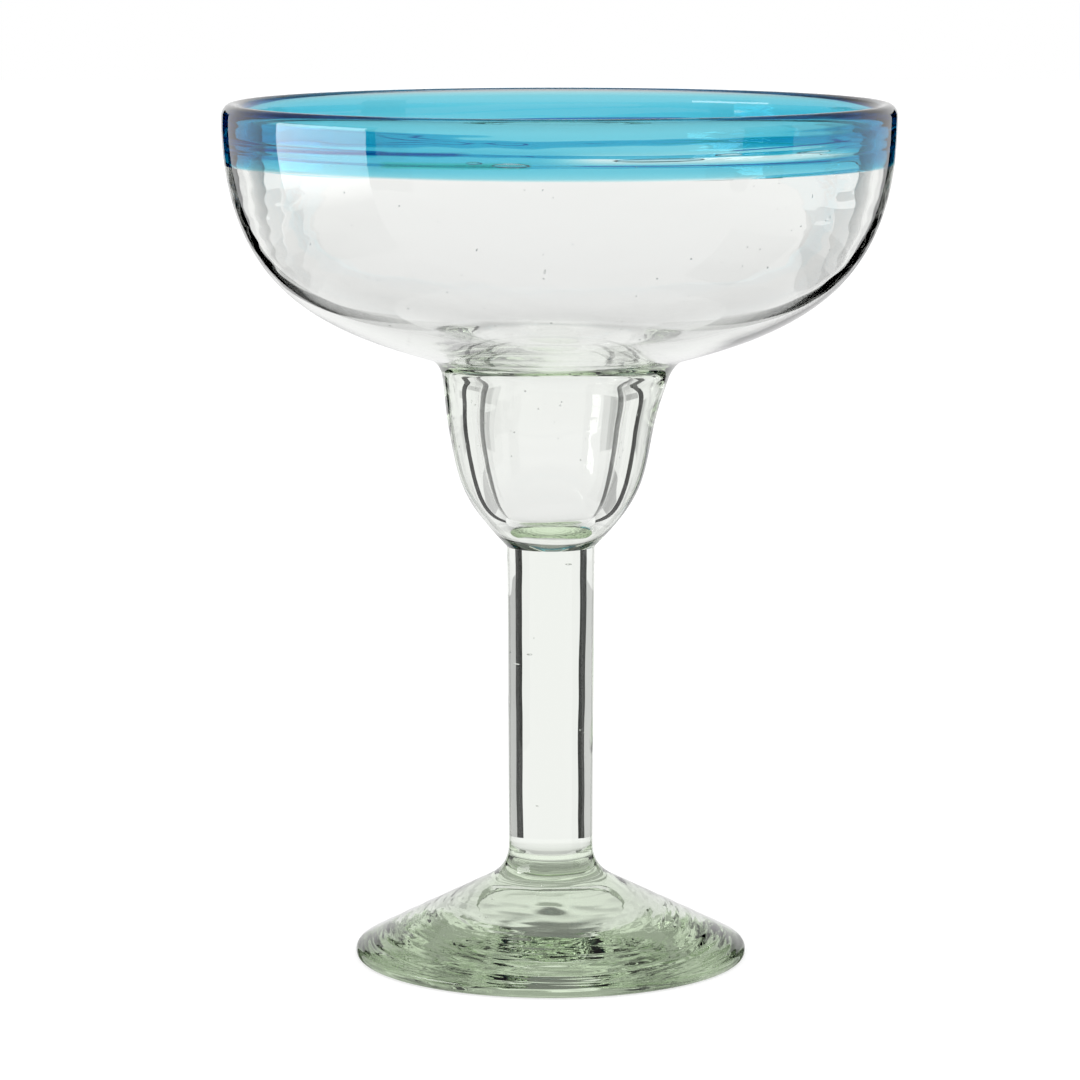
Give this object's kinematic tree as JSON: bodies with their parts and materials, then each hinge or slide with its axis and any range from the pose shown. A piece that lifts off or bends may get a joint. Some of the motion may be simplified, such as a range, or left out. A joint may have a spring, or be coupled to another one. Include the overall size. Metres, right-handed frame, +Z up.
{
  "type": "margarita glass",
  "caption": "Hand-blown margarita glass: wide bowl with an aqua rim over a small lower cup, on a solid stem and a cone foot.",
  "frame": {"origin": "middle of the foot, on the surface the glass stands on", "axes": "+Z up the stem's axis; the glass is round about Z, and X and Y lie in the table's plane"},
  "size_m": [0.132, 0.132, 0.1699],
  "materials": {
    "clear_glass": "fire-polished clear recycled soda-lime glass with a faint green tint and small seed bubbles",
    "foot_glass": "thick clear recycled glass, grey-green in its depth, with tool rings",
    "aqua_glass": "fire-polished aqua glass with darker blue and green streaks",
    "broken_glass": "rough, unpolished break left by the pontil iron"
  },
  "bodies": {
    "root": {"foot": "foot_glass", "pontil_scar": "broken_glass", "stem": "clear_glass", "bowl": "clear_glass", "rim_band": "aqua_glass"}
  },
  "joints": []
}
